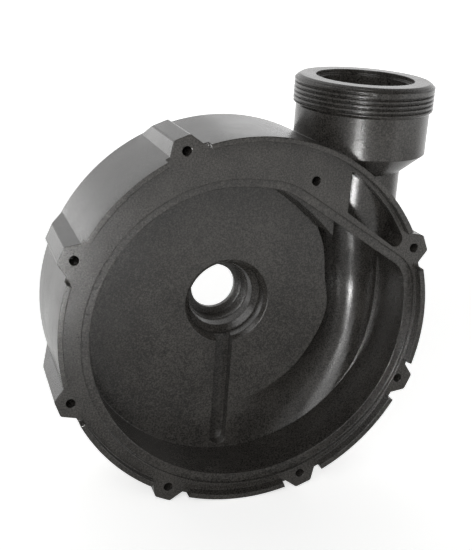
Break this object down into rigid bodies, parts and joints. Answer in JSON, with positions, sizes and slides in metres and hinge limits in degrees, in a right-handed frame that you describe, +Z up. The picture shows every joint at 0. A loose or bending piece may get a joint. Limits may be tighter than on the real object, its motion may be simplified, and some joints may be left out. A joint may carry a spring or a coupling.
{
  "type": "volute pump casing",
  "caption": "Open-fronted moulded volute casing of a centrifugal pump, with a lugged cover rim, a stepped shaft seal seat and a tangential threaded discharge.",
  "frame": {"origin": "centre of the cover screw circle on the face of the screw lugs", "axes": "+Z up along the discharge axis, the open mouth faces -Y, the motor side is +Y, +X towards the discharge"},
  "size_m": [0.2086, 0.0746, 0.229],
  "materials": {
    "volute_casing": "satin, dark grey glass-filled moulding"
  },
  "bodies": {
    "root": {"volute_casing": "volute_casing"}
  },
  "joints": []
}
